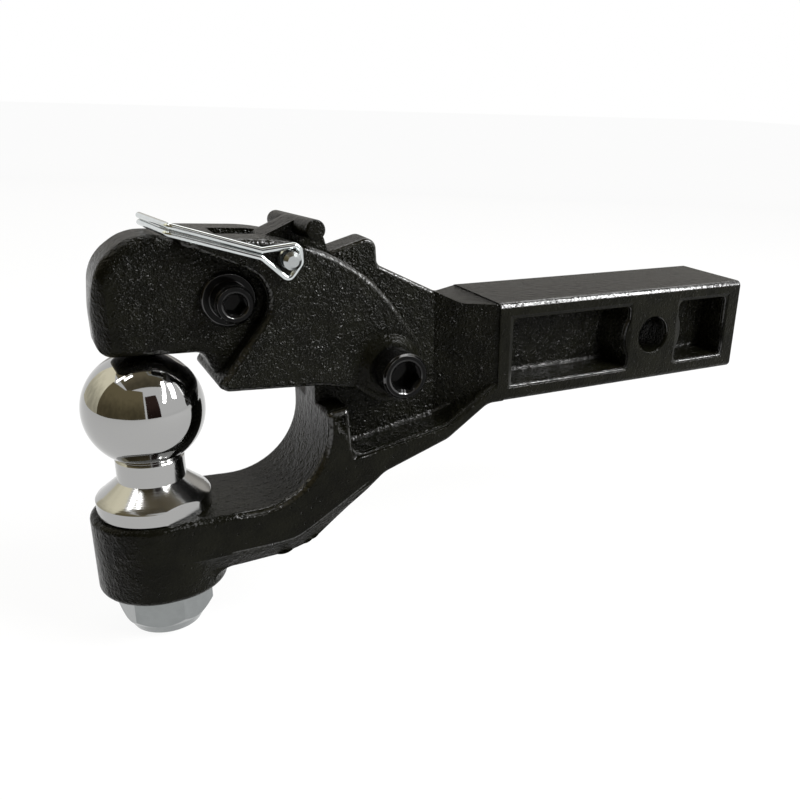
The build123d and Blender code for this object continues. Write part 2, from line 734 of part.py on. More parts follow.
def make_parts():
    half = JAW_W / 2
    beak_half = BEAK_W / 2
    web = WEB_T / 2
    slot_half = web + SLOT_GAP
    seat = half + BOSS_H
    parts = {}
    parts["hitch_body"] = make_hitch_body()
    parts["upper_jaw"] = make_upper_jaw()
    parts["lock_lever"] = make_lock_lever()

    # jaw pivot stack
    nut_y = seat + JAW_WASHER_T
    parts["jaw_pivot_bolt"] = socket_screw(
        JAW_PIVOT, -seat - JAW_HEAD_H, JAW_HEAD_D, JAW_HEAD_H, JAW_BOLT_D,
        nut_y + JAW_NUT_H + 1.0, JAW_HEX)
    parts["jaw_pivot_sleeve"] = washer_across(
        JAW_PIVOT, JAW_SLEEVE_D, JAW_BOLT_D + 2 * RUN, -slot_half, slot_half)
    parts["jaw_pivot_bush"] = washer_across(
        JAW_PIVOT, JAW_BUSH_D, JAW_SLEEVE_D + 2 * RUN, -web, web)
    parts["jaw_pivot_washer"] = washer_across(
        JAW_PIVOT, JAW_WASHER_D, JAW_BOLT_D + 2 * FIT, seat, nut_y)
    nut, insert = lock_nut(JAW_NUT_AF, JAW_BOLT_D, JAW_NUT_H, 4.2)
    parts["jaw_pivot_nut"] = across_axis(nut, JAW_PIVOT, nut_y, 0)
    parts["jaw_nut_insert"] = across_axis(insert, JAW_PIVOT, nut_y, 0)

    # lock pivot stack
    wall = beak_half + LOCK_WASHER_T
    parts["lock_pivot_bolt"] = socket_screw(
        LOCK_PIVOT, -wall - LOCK_HEAD_H, LOCK_HEAD_D, LOCK_HEAD_H, LOCK_BOLT_D,
        wall + LOCK_NUT_H + 1.0, LOCK_HEX)
    parts["lock_pivot_sleeve"] = washer_across(
        LOCK_PIVOT, LOCK_SLEEVE_D, LOCK_BOLT_D + 2 * RUN, -slot_half, slot_half)
    bush_far = LEVER_T / 2 - SPRING_ROOM
    parts["lock_lever_bush"] = washer_across(
        LOCK_PIVOT, LOCK_BUSH_D, LOCK_SLEEVE_D + 2 * RUN, -LEVER_T / 2, bush_far)
    near = washer_across(LOCK_PIVOT, LOCK_WASHER_D, LOCK_BOLT_D + 2 * FIT, -wall, -beak_half)
    far = washer_across(LOCK_PIVOT, LOCK_WASHER_D, LOCK_BOLT_D + 2 * FIT, beak_half, wall)
    parts["lock_pivot_washers"] = Compound(children=[near.solid(), far.solid()])
    nut, insert = lock_nut(LOCK_NUT_AF, LOCK_BOLT_D, LOCK_NUT_H, 3.2)
    parts["lock_pivot_nut"] = across_axis(nut, LOCK_PIVOT, wall, 10)
    parts["lock_nut_insert"] = across_axis(insert, LOCK_PIVOT, wall, 10)
    parts["lock_spring"] = make_lock_spring()

    parts["safety_pin"] = make_safety_pin()
    parts["pin_bail"] = make_pin_bail()

    # tow ball and its fastening under the horn
    parts["tow_ball"] = make_tow_ball()
    nut, insert = lock_nut(BALL_NUT_AF, STUD_D, BALL_NUT_H, BALL_NUT_CROWN)
    place = Pos(BALL_X, 0, HORN_BOTTOM) * Rot(180, 0, 0) * Rot(0, 0, -BALL_NUT_TURN)
    parts["ball_nut"] = place * nut
    parts["ball_nut_insert"] = place * insert
    return parts


if __name__ == "__main__":
    os.makedirs("parts", exist_ok=True)
    for name, shape in make_parts().items():
        export_step(shape, f"parts/{name}.step")
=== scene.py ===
import json
import math

import bpy
from bpy.props import FloatProperty, FloatVectorProperty, PointerProperty
from mathutils import Matrix, Quaternion, Vector


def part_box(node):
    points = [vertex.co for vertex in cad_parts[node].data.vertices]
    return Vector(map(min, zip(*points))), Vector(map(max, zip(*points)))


bl_info = {
    "name": "Duckbill hitch",
    "version": (1, 0, 0),
    "blender": (4, 5, 0),
    "location": "View3D > Sidebar > Hitch",
    "description": "Finishes the duckbill hitch and sets up its studio",
    "category": "Object",
}

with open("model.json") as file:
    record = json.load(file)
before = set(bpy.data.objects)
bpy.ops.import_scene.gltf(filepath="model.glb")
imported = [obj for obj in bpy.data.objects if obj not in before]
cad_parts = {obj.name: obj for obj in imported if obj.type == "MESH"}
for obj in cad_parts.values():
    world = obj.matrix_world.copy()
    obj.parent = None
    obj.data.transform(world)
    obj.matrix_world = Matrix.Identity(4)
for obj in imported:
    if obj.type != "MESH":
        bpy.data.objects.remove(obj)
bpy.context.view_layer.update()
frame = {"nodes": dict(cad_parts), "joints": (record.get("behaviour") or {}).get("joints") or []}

MM = 0.001
JAW_PIVOT = Vector(next(j["pos_m"] for j in frame["joints"] if j["name"] == "jaw_open"))
LOCK_PIVOT = Vector(next(j["pos_m"] for j in frame["joints"] if j["name"] == "lock_turn"))
FLOOR_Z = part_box("ball_nut")[0].z

# Landmarks of the hitch in millimetres, as the CAD has them.
# The side pockets of the shank: left, right, bottom, top
POCKET_BOX = (-89.5, 51.4, -16.8, 17.2)
# Sloping edges of the body's side: a point (x, z) on each, and its rise over its run
WEB_LEDGE = (-98.0, -14.5, 0.660)
CHORD_LEDGE = (-124.5, -32.0, 0.1746)
THROAT_LIMIT = (-200.0, -70.0, 0.8)
CHORD_CLIMB = (-196.7, -73.7, 0.616)
HORN_LEVEL = -76.6
# Squared half width in square millimetres of the bend from the horn's level to the climb
BEND_SQUARE = 6.8
# The flare from the web to the shank, between these x
FLARE = (-125.0, -96.8)
BALL_RADIUS = 25.0

# The photograph's camera: where it looks, from which side, and how it frames the view
FRAME_PIXELS = 800.0
FOCAL_PIXELS = 857.4
CENTRE_PIXEL = (489.8, 431.2)
SENSOR_MM = 36.0
CAMERA_TARGET = Vector((-85.5, 0.0, -51.1)) * MM
CAMERA_DISTANCE = 461.8 * MM
CAMERA_AZIMUTH = math.radians(30.82)
CAMERA_ELEVATION = math.radians(21.68)
CAMERA_ROLL = math.radians(2.37)


# Shader arithmetic

class Value:
    """A shader output. Arithmetic on it adds Math nodes to its material."""

    def __init__(self, recipe, socket):
        self.recipe = recipe
        self.socket = socket

    def math(self, operation, *terms):
        inputs = dict(enumerate(terms))
        return self.recipe.add("ShaderNodeMath", {"operation": operation}, inputs)

    def __add__(self, other):
        return self.math("ADD", self, other)

    def __radd__(self, other):
        return self.math("ADD", other, self)

    def __sub__(self, other):
        return self.math("SUBTRACT", self, other)

    def __rsub__(self, other):
        return self.math("SUBTRACT", other, self)

    def __mul__(self, other):
        return self.math("MULTIPLY", self, other)

    def __rmul__(self, other):
        return self.math("MULTIPLY", other, self)

    def __abs__(self):
        return self.math("ABSOLUTE", self)

    def root(self):
        return self.math("SQRT", self)

    def wave(self):
        return self.math("SINE", self)

    def at_most(self, other):
        return self.math("MINIMUM", self, other)

    def at_least(self, other):
        return self.math("MAXIMUM", self, other)

    def rises(self, low, high):
        """0 below low, 1 above high, smooth between. With low above high it falls."""
        settings = {"interpolation_type": "SMOOTHSTEP"}
        return self.recipe.add("ShaderNodeMapRange", settings, {0: self, 1: low, 2: high})


class Recipe:
    """A material under construction."""

    def __init__(self, name):
        self.material = bpy.data.materials.new(name)
        self.material.use_nodes = True
        self.tree = self.material.node_tree
        self.tree.nodes.clear()
        self.place = self.add("ShaderNodeTexCoord", output="Object")

    def add(self, kind, settings=None, inputs=None, output=0):
        node = self.tree.nodes.new(kind)
        for key, value in (settings or {}).items():
            setattr(node, key, value)
        for key, value in (inputs or {}).items():
            socket = node.inputs[key]
            if isinstance(value, Value):
                self.tree.links.new(value.socket, socket)
            else:
                socket.default_value = value
        return Value(self, node.outputs[output])

    def axes(self):
        """The three coordinates of a point, in millimetres."""
        split = self.add("ShaderNodeSeparateXYZ", inputs={0: self.place})
        outputs = split.socket.node.outputs
        return [Value(self, outputs[i]) * (1 / MM) for i in range(3)]

    def noise(self, size, detail=2.0, roughness=0.5, stretch=(1.0, 1.0, 1.0), shift=0.0):
        """Noise from about 0.2 to 0.8 with spots of that size in millimetres."""
        where = self.add("ShaderNodeMapping", inputs={
            "Vector": self.place,
            "Location": (shift, shift, shift),
            "Scale": stretch,
        })
        return self.add("ShaderNodeTexNoise", inputs={
            "Vector": where,
            "Scale": 1 / (size * MM),
            "Detail": detail,
            "Roughness": roughness,
        })

    def cells(self, size, shift=0.0):
        """Distance to the nearest of scattered points, about 0 to 1."""
        where = self.add("ShaderNodeMapping", inputs={
            "Vector": self.place,
            "Location": (shift, shift, shift),
        })
        return self.add("ShaderNodeTexVoronoi", inputs={"Vector": where, "Scale": 1 / (size * MM)})

    def blend(self, factor, first, second):
        """Colour mixed from two colours."""
        return self.add("ShaderNodeMix", {"data_type": "RGBA"}, {0: factor, 6: first, 7: second}, 2)

    def relief(self, height, depth, strength=1.0, over=None):
        """Bumped normal from a height of 0 to 1 that stands for depth millimetres."""
        inputs = {"Height": height, "Distance": depth * MM, "Strength": strength}
        if over is not None:
            inputs["Normal"] = over
        return self.add("ShaderNodeBump", inputs=inputs)

    def principled(self, **inputs):
        """Principled shader. Words in names stand for its sockets."""
        named = {
            key.replace("_", " ").title().replace("Ior", "IOR"): value
            for key, value in inputs.items()
        }
        return self.add("ShaderNodeBsdfPrincipled", inputs=named)

    def close(self, surface):
        output = self.tree.nodes.new("ShaderNodeOutputMaterial")
        self.tree.links.new(surface.socket, output.inputs["Surface"])
        return self.material

    def done(self, **inputs):
        return self.close(self.principled(**inputs))


def rgba(colour, share=1.0):
    return (colour[0] * share, colour[1] * share, colour[2] * share, 1.0)


def reach(a, b, at):
    """Distance of points (a, b) in millimetres from a pivot across the shank."""
    da = a - at.x / MM
    db = b - at.z / MM
    return (da * da + db * db).root()


def band(value, low, high, soft=0.25):
    """1 between low and high, 0 outside."""
    return value.rises(low - soft, low) * value.rises(high + soft, high)


# Finishes. Pairs of numbers in rises and band are millimetres on the piece, or levels of noise.

def two_sheens(r, look, share, colour, shine, normal):
    """Closes a black finish: dull where share is 0, glinting where it is 1."""
    dull, bright = [
        r.principled(
            base_color=colour, roughness=shine, normal=normal, specular_ior_level=level,
        )
        for level in (look.coat_shine, look.glint_shine)
    ]
    return r.close(r.add("ShaderNodeMixShader", inputs={0: share, 1: dull, 2: bright}))


def forged_black(name, look, rough_area, edges):
    """Gloss black coat over a forging. rough_area gives 1 where the forging is grainy,
    edges a height that rounds edges and fills hollows, and 1 where the coat is polished."""
    r = Recipe(name)
    x, y, z = r.axes()
    grainy = rough_area(r, x, y, z)
    worn, polished = edges(r, x, y, z)
    grain = r.noise(look.grain_mm, 2.0, 0.55)
    nubs = 1.0 - r.cells(look.grain_mm, shift=3.1)
    patches = r.noise(look.grain_mm * 3, 2.0, 0.6, shift=5.9)
    crowd = patches.rises(0.40, 0.66)
    swell = r.noise(look.grain_mm * 8, 2.0, 0.5, shift=7.7)
    pits = r.cells(4.2, shift=1.7).rises(0.16, 0.04)
    dots = r.cells(look.grain_mm * 0.85, shift=9.3).rises(0.34, 0.16)
    rough = grain * 0.8 + nubs * crowd * 0.5 + patches * 0.25
    calm = 1.0 - polished * 0.7
    height = rough * (grainy * 0.65 + 0.35) * calm - pits * (1.0 - grainy) * 0.4
    normal = r.relief(swell, 0.5, 0.3)
    normal = r.relief(worn, look.edge_depth_mm, 1.0, over=normal)
    normal = r.relief(height, look.grain_depth_mm, 1.0, over=normal)
    dark, light = rgba(look.coat_colour, 0.75), rgba(look.coat_colour, 1.3)
    colour = r.blend(swell.rises(0.3, 0.7), dark, light)
    shine = look.coat_roughness + swell * 0.1
    sparks = grainy * dots * patches.rises(0.3, 0.7) * 0.8
    share = sparks.at_least(polished * (grain.rises(0.35, 0.55) * 0.8 + 0.2))
    return two_sheens(r, look, share, colour, shine, normal)


def incline(x, edge):
    """Height over x of one of the sloping edges."""
    at, height, slope = edge
    return (x - at) * slope + height


def body_hollows(x, z, across):
    """The rounded rims of the pockets and the ledge, and the filled corners inside them."""
    left, right, bottom, top = POCKET_BOX
    outside = (left - x).at_least(x - right).at_least(bottom - z).at_least(z - top)
    rim = outside.rises(1.7, 0.0) * abs(x).rises(15.0, 19.0)
    floor = z.rises(-12.7, -15.2) * x.rises(-95.0, -91.0)
    ledge = incline(x, WEB_LEDGE).at_least(incline(x, CHORD_LEDGE))
    along = x.rises(-174.0, -171.0) * x.rises(-96.0, -100.0)
    brink = (ledge - z).rises(1.8, 0.0) * along
    hollow = (z - ledge).rises(2.4, 0.0) * along
    rounded = across.rises(23.5, 24.5) * rim.at_least(brink)
    filled = across.rises(13.0, 9.5) * floor.at_least(hollow)
    return rounded, filled


def body_fillets(x, z, across):
    """The rounded edges of the shank and the horn, and of the web's top."""
    limit = incline(x, THROAT_LIMIT).at_least(THROAT_LIMIT[1]).at_most(0.0)
    upper = (z - limit).rises(-2.0, 2.0) * x.rises(-230.0, -222.0)
    sides = band(across, 22.3, 24.7) * upper * (1.0 - band(x, *FLARE))
    web_top = band(across, 6.2, 7.75) * z.rises(25.5, 27.0) * x.rises(-105.0, -112.0)
    return sides.at_least(web_top)


def bevel_burr(x, z, across):
    """The thin bright line where the bevel under the chord meets its side."""
    climb = incline(x, CHORD_CLIMB)
    apart = climb - HORN_LEVEL
    crease = (apart * apart + BEND_SQUARE).root() * 0.5 + (climb + HORN_LEVEL) * 0.5
    on_side = across.rises(24.6, 24.9)
    return band(z - crease, -0.25, 0.35) * on_side * band(x, -229.0, -168.0, 3.0)


def body_edges(r, x, y, z):
    """Pockets, ledge along the chord, rounded edges and the bevel's burr."""
    across = abs(y)
    rounded, filled = body_hollows(x, z, across)
    polished = filled.at_least(rounded * z.rises(-8.0, -12.0))
    polished = polished.at_least(body_fillets(x, z, across))
    return filled - rounded, polished.at_least(bevel_burr(x, z, across))


def body_grain(r, x, y, z):
    """Web, pocket floors and flare are grainy; shank faces, chord sides and throat are smooth."""
    inside = abs(y).rises(24.6, 22.5)
    throat = x.rises(-170.0, -176.0) * z.rises(-8.0, -14.0)
    return inside * (1.0 - throat * 0.6)


def jaw_grain(r, x, y, z):
    """The broad sides are grainy; the nose, the lower band and the pivot boss are smooth."""
    nose = x.rises(-262.0, -268.0)
    low = z.rises(21.0, 15.0) * x.rises(-228.0, -234.0)
    boss = reach(x, z, JAW_PIVOT).rises(19.0, 14.5)
    return 1.0 - nose.at_least(low).at_least(boss) * 0.85


def jaw_edges(r, x, y, z):
    """Rounded edges of the cheeks, fading towards the pivot's boss."""
    return 0.0, band(abs(y), 20.9, 22.7) * reach(x, z, JAW_PIVOT).rises(17.0, 31.0) * 0.7


def lever_edges(r, x, y, z):
    """Rounded edges of the lever's plate."""
    return 0.0, band(abs(y), 6.9, 7.7) * 0.6


def lever_grain(r, x, y, z):
    return y.rises(30.0, 31.0) + 0.35


def oiled_black(name, look):
    """Black oxide of screws, washers and small nuts, with bright rims and socket mouths."""
    r = Recipe(name)
    smear = r.noise(3.0, 3.0, 0.6)
    marks = r.noise(0.25, 2.0, 0.5, stretch=(1.0, 4.0, 1.0))
    x, y, z = r.axes()
    from_jaw = reach(x, z, JAW_PIVOT)
    from_lock = reach(x, z, LOCK_PIVOT)
    rims = from_jaw.rises(10.5, 9.5) + from_lock.rises(8.0, 7.1) + from_lock.rises(11.5, 10.6)
    mouths = from_jaw.rises(6.9, 8.1) + from_lock.rises(4.6, 5.6)
    colour = r.blend(smear, rgba(look.oxide_colour, 0.7), rgba(look.oxide_colour, 1.5))
    normal = r.relief(rims + mouths, 0.8)
    normal = r.relief(marks, 0.01, 0.4, over=normal)
    worn = band(from_jaw, 9.6, 10.6).at_least(band(from_lock, 7.2, 8.1))
    worn = worn.at_least(band(from_lock, 10.7, 11.6))
    jaw_z, lock_z = JAW_PIVOT.z / MM, LOCK_PIVOT.z / MM
    below_jaw = z.rises(jaw_z + 2.0, jaw_z - 3.0) * 0.75 + 0.25
    below_lock = z.rises(lock_z + 1.0, lock_z - 2.5) * 0.75 + 0.25
    share = worn.at_least(band(from_jaw, 7.1, 7.9) * below_jaw)
    share = share.at_least(band(from_lock, 4.75, 5.45) * below_lock)
    return two_sheens(r, look, share, colour, smear * 0.1 + 0.05, normal)


def chrome_plate(name, look):
    """Bright plate: mirror ball, turned marks on neck and collar."""
    r = Recipe(name)
    x, y, z = r.axes()
    turned = z.rises(-30.0, -34.0)
    rings = (z * 9.0).wave() * 0.5 + r.noise(0.5, 2.0, 0.6, stretch=(0.05, 0.05, 1.0))
    haze = r.noise(9.0, 3.0, 0.6)
    spots = r.cells(7.0, shift=4.4).rises(0.05, 0.02)
    normal = r.relief(rings * turned, 0.012, 0.5)
    normal = r.relief(haze, 0.05, 0.12, over=normal)
    shine = haze * 0.05 + 0.02 + turned * 0.09 + spots * 0.3
    colour = r.blend(spots, rgba(look.chrome_colour), rgba(look.chrome_colour, 0.45))
    return r.done(base_color=colour, metallic=1.0, roughness=shine, normal=normal)


def zinc_plate(name, look, share, softness):
    """Blue-white zinc with the cloudy look of barrel plating."""
    r = Recipe(name)
    cloud = r.noise(5.0, 4.0, 0.6)
    fine = r.noise(0.7, 2.0, 0.6, shift=2.0)
    dark, light = rgba(look.zinc_colour, share * 0.92), rgba(look.zinc_colour, share)
    colour = r.blend(cloud.rises(0.35, 0.65), dark, light)
    normal = r.relief(fine, 0.03, 0.35)
    return r.done(
        base_color=colour, metallic=1.0, roughness=cloud * 0.1 + softness, normal=normal,
    )


def ground_steel(name, look):
    """Bare ground steel of sleeves and the spring."""
    r = Recipe(name)
    lines = r.noise(0.3, 2.0, 0.6, stretch=(1.0, 0.08, 1.0))
    colour = r.blend(lines, rgba(look.steel_colour, 0.8), rgba(look.steel_colour, 1.1))
    normal = r.relief(lines, 0.01, 0.5)
    return r.done(base_color=colour, metallic=1.0, roughness=lines * 0.2 + 0.2, normal=normal)


def bearing_bronze(name, look):
    """Sintered bronze with open pores."""
    r = Recipe(name)
    pores = r.cells(0.5).rises(0.3, 0.12)
    tone = r.noise(2.0, 2.0, 0.5)
    colour = r.blend(tone, rgba(look.bronze_colour, 0.8), rgba(look.bronze_colour, 1.1))
    colour = r.blend(pores, colour, rgba(look.bronze_colour, 0.3))
    normal = r.relief(pores, 0.03, 0.5)
    return r.done(base_color=colour, metallic=1.0, roughness=pores * 0.3 + 0.3, normal=normal)


def nylon(name, look):
    """Milky nylon of the nut inserts."""
    r = Recipe(name)
    tone = r.noise(1.5, 2.0, 0.5)
    colour = r.blend(tone, rgba(look.nylon_colour, 0.92), rgba(look.nylon_colour))
    return r.done(base_color=colour, roughness=tone * 0.1 + 0.35, normal=r.relief(tone, 0.02, 0.3))


# Dressing the frame's nodes

# Edges sharper than this many degrees stay sharp: most nodes, those with flat chamfers,
# and the body with its shallow bevel
USUAL_SPLIT = 30.0
CHAMFER_SPLIT = 25.0
BEVEL_SPLIT = 20.0
WELD_MM = 0.002


def smooth_shading(piece, split_degrees):
    """Merges the loose triangles for display and keeps edges sharper than that angle."""
    piece.data.polygons.foreach_set("use_smooth", [True] * len(piece.data.polygons))
    weld = piece.modifiers.new("weld", "WELD")
    weld.merge_threshold = WELD_MM * MM
    split = piece.modifiers.new("sharp edges", "EDGE_SPLIT")
    split.split_angle = math.radians(split_degrees)
    split.use_edge_sharp = False


def dress(node, material, split_degrees=USUAL_SPLIT):
    piece = frame["nodes"][node]
    piece.data.materials.clear()
    piece.data.materials.append(material)
    smooth_shading(piece, split_degrees)


# Settings

def tint(name, description, default):
    return FloatVectorProperty(
        name=name, description=description,
        subtype="COLOR", size=3, min=0.0, max=1.0, default=default,
    )


def watts(name, description, default):
    return FloatProperty(
        name=name, description=description,
        unit="POWER", min=0.0, max=200.0, default=default,
    )


class HitchLook(bpy.types.PropertyGroup):
    """Colours and textures of the hitch's finishes."""

    coat_colour: tint(
        "Coat colour", "Black of the forgings' coat", (0.0034, 0.0034, 0.0020),
    )
    coat_roughness: FloatProperty(
        name="Coat roughness", description="Roughness of the coat",
        min=0.02, max=1.0, default=0.12,
    )
    coat_shine: FloatProperty(
        name="Coat shine", description="Specular level of the coat",
        min=0.0, max=1.0, default=0.07,
    )
    glint_shine: FloatProperty(
        name="Glint shine", description="Specular level where edges and grains are polished",
        min=0.0, max=1.0, default=0.85,
    )
    grain_mm: FloatProperty(
        name="Grain size", description="Size of the forging's grain in millimetres",
        min=0.2, max=5.0, default=1.25,
    )
    grain_depth_mm: FloatProperty(
        name="Grain depth", description="Depth of the forging's grain in millimetres",
        min=0.0, max=2.0, default=1.1,
    )
    edge_depth_mm: FloatProperty(
        name="Edge depth", description="How far worn edges fall away in millimetres",
        min=0.0, max=3.0, default=1.3,
    )
    oxide_colour: tint(
        "Oxide colour", "Black of the screws and washers", (0.0022, 0.0022, 0.0022),
    )
    chrome_colour: tint(
        "Chrome colour", "Tint of the ball's plate", (0.37, 0.37, 0.365),
    )
    zinc_colour: tint(
        "Zinc colour", "Tint of the nut, pin and bail", (0.60, 0.63, 0.63),
    )
    steel_colour: tint(
        "Steel colour", "Bare steel of the sleeves and the spring", (0.45, 0.45, 0.46),
    )
    bronze_colour: tint(
        "Bronze colour", "Bronze of the bushes", (0.55, 0.38, 0.20),
    )
    nylon_colour: tint(
        "Nylon colour", "Nylon of the nut inserts", (0.78, 0.82, 0.86),
    )


class HitchStudio(bpy.types.PropertyGroup):
    """Light and surroundings."""

    ambient: FloatProperty(
        name="Ambient", description="Strength of the even light from all round",
        min=0.0, max=3.0, default=0.55,
    )
    window_watts: watts(
        "Window", "Power of the tall window on the shank's side", 11.0,
    )
    key_watts: watts(
        "Key lamp", "Power of the narrow lamp beside the window", 13.0,
    )
    overhead_watts: watts(
        "Overhead lamp", "Power of the soft lamp above and behind", 5.0,
    )
    strip_watts: watts(
        "Strips", "Power of each of the two ceiling lamps", 0.8,
    )
    wall_colour: tint(
        "Side wall", "Pale wall on the ball's side", (0.95, 0.89, 0.68),
    )
    room_colour: tint(
        "Room", "Tone of the room behind the camera", (0.165, 0.137, 0.078),
    )
    backdrop_colour: tint(
        "Backdrop", "Tone of the backdrop that level faces reflect", (0.50, 0.48, 0.45),
    )
    ceiling_colour: tint(
        "Ceiling", "Tone of the ceiling", (0.17, 0.145, 0.095),
    )
    curtain_colour: tint(
        "Curtain", "Dark curtain beside the window", (0.035, 0.022, 0.018),
    )


# Pieces

class HITCH_OT_body(bpy.types.Operator):
    """Finish the forged body with its shank, neck, throat and horn"""

    bl_idname = "hitch.body"
    bl_label = "Finish the body"

    def execute(self, context):
        look = context.scene.hitch_look
        coat = forged_black("forged body coat", look, body_grain, body_edges)
        dress("hitch_body", coat, BEVEL_SPLIT)
        return {"FINISHED"}


class HITCH_OT_jaw(bpy.types.Operator):
    """Finish the upper jaw"""

    bl_idname = "hitch.jaw"
    bl_label = "Finish the upper jaw"

    def execute(self, context):
        look = context.scene.hitch_look
        dress("upper_jaw", forged_black("forged jaw coat", look, jaw_grain, jaw_edges))
        return {"FINISHED"}


class HITCH_OT_lever(bpy.types.Operator):
    """Finish the lock lever"""

    bl_idname = "hitch.lever"
    bl_label = "Finish the lock lever"

    def execute(self, context):
        look = context.scene.hitch_look
        dress("lock_lever", forged_black("forged lever coat", look, lever_grain, lever_edges))
        return {"FINISHED"}


class HITCH_OT_screws(bpy.types.Operator):
    """Finish the pivot screws with their washers, nuts and inserts"""

    bl_idname = "hitch.screws"
    bl_label = "Finish the pivot screws"

    def execute(self, context):
        look = context.scene.hitch_look
        oxide = oiled_black("black oxide", look)
        for node in (
            "jaw_pivot_bolt", "jaw_pivot_washer", "jaw_pivot_nut",
            "lock_pivot_bolt", "lock_pivot_washers", "lock_pivot_nut",
        ):
            dress(node, oxide)
        insert = nylon("insert nylon", look)
        for node in ("jaw_nut_insert", "lock_nut_insert", "ball_nut_insert"):
            dress(node, insert)
        return {"FINISHED"}


class HITCH_OT_bearings(bpy.types.Operator):
    """Finish the sleeves, bushes and the lock spring inside the pivots"""

    bl_idname = "hitch.bearings"
    bl_label = "Finish the bearings and the spring"

    def execute(self, context):
        look = context.scene.hitch_look
        steel = ground_steel("ground steel", look)
        for node in ("jaw_pivot_sleeve", "lock_pivot_sleeve", "lock_spring"):
            dress(node, steel)
        bronze = bearing_bronze("bearing bronze", look)
        for node in ("jaw_pivot_bush", "lock_lever_bush"):
            dress(node, bronze)
        return {"FINISHED"}


class HITCH_OT_pin(bpy.types.Operator):
    """Finish the safety pin and its wire bail"""

    bl_idname = "hitch.pin"
    bl_label = "Finish the safety pin"

    def execute(self, context):
        look = context.scene.hitch_look
        dress("safety_pin", zinc_plate("pin zinc", look, share=0.7, softness=0.14))
        dress("pin_bail", zinc_plate("wire zinc", look, share=1.0, softness=0.06))
        return {"FINISHED"}


class HITCH_OT_ball(bpy.types.Operator):
    """Finish the tow ball and its nut"""

    bl_idname = "hitch.ball"
    bl_label = "Finish the tow ball"

    def execute(self, context):
        look = context.scene.hitch_look
        dress("tow_ball", chrome_plate("ball chrome", look), CHAMFER_SPLIT)
        nut = zinc_plate("nut zinc", look, share=0.44, softness=0.2)
        dress("ball_nut", nut, CHAMFER_SPLIT)
        return {"FINISHED"}


# Stage, in metres

FLOOR_WIDTH = 16.0
CARD_REACH = 1.7
CEILING_HEIGHT = 2.3
CEILING_WIDTH = 3.0

# How white the floor is to lamps, and how much of its own white the camera sees
FLOOR_WHITE = 0.94
FLOOR_GLOW = 0.93


def glow_material(name, colour):
    """Surface of the room that shows its colour whatever the lamps do, darker below."""
    r = Recipe(name)
    x, y, z = r.axes()
    height = y.rises(-500.0, 300.0) * 0.7 + r.noise(180.0, 2.0, 0.5) * 0.6
    tone = r.blend(height.rises(0.1, 1.0), rgba(colour, 0.55), rgba(colour, 1.5))
    return r.close(r.add("ShaderNodeEmission", inputs={"Color": tone, "Strength": 1.0}))


def floor_material(name):
    """Diffuse white, lifted for the camera and for reflections so that it meets the background."""
    r = Recipe(name)
    path = r.add("ShaderNodeLightPath", output="Is Camera Ray")
    glossy = Value(r, path.socket.node.outputs["Is Glossy Ray"])
    clear = Value(r, path.socket.node.outputs["Is Transmission Ray"])
    seen = path.at_least(glossy).at_least(clear)
    diffuse = r.add("ShaderNodeBsdfDiffuse", inputs={"Color": rgba((FLOOR_WHITE,) * 3)})
    glow = r.add("ShaderNodeEmission", inputs={"Strength": 1.0})
    share = seen * FLOOR_GLOW
    return r.close(r.add("ShaderNodeMixShader", inputs={0: share, 1: diffuse, 2: glow}))


def card(name, centre, facing, width, height, material):
    """Panel outside the view that metal and gloss surfaces reflect."""
    bpy.ops.object.select_all(action="DESELECT")
    bpy.ops.mesh.primitive_plane_add(size=1.0, location=centre)
    panel = bpy.context.object
    panel.name = name
    panel.scale = (width, height, 1.0)
    panel.rotation_euler = (Vector(facing) - Vector(centre)).to_track_quat("Z", "Y").to_euler()
    panel.data.materials.append(material)
    panel.visible_camera = False


def lamp(name, power, place, target, width, height, lean):
    """Rectangular area lamp. lean tilts its top to the camera's right, in degrees."""
    data = bpy.data.lights.new(name, "AREA")
    data.shape = "RECTANGLE"
    data.size = width
    data.size_y = height
    data.energy = power
    light = bpy.data.objects.new(name, data)
    light.location = place
    aim = (target - place).to_track_quat("-Z", "Y")
    light.rotation_euler = (aim @ Quaternion((0.0, 0.0, 1.0), -math.radians(lean))).to_euler()
    bpy.context.scene.collection.objects.link(light)


def camera_axes():
    """Right, up and forward of the photograph's camera."""
    azimuth, elevation = CAMERA_AZIMUTH, CAMERA_ELEVATION
    forward = Vector((
        math.sin(azimuth) * math.cos(elevation),
        math.cos(azimuth) * math.cos(elevation),
        -math.sin(elevation),
    ))
    level = Vector((math.cos(azimuth), -math.sin(azimuth), 0.0))
    up = level.cross(forward)
    right = level * math.cos(CAMERA_ROLL) + up * math.sin(CAMERA_ROLL)
    up = up * math.cos(CAMERA_ROLL) - level * math.sin(CAMERA_ROLL)
    return right, up, forward


def away(centre, azimuth, elevation, distance):
    """Point seen from centre at degrees from the camera's side, positive to the camera's right."""
    a = math.radians(azimuth) - CAMERA_AZIMUTH
    e = math.radians(elevation)
    towards = Vector((math.sin(a) * math.cos(e), -math.cos(a) * math.cos(e), math.sin(e)))
    return centre + towards * distance


def place_camera():
    right, up, forward = camera_axes()
    data = bpy.data.cameras.new("photo camera")
    data.sensor_width = SENSOR_MM
    data.lens = FOCAL_PIXELS / FRAME_PIXELS * SENSOR_MM
    data.shift_x = 0.5 - CENTRE_PIXEL[0] / FRAME_PIXELS
    data.shift_y = CENTRE_PIXEL[1] / FRAME_PIXELS - 0.5
    data.clip_start = 0.01
    data.clip_end = 50.0
    camera = bpy.data.objects.new("photo camera", data)
    turn = Matrix((right, up, -forward)).transposed().to_4x4()
    camera.matrix_world = Matrix.Translation(CAMERA_TARGET - forward * CAMERA_DISTANCE) @ turn
    bpy.context.scene.collection.objects.link(camera)
    bpy.context.scene.camera = camera


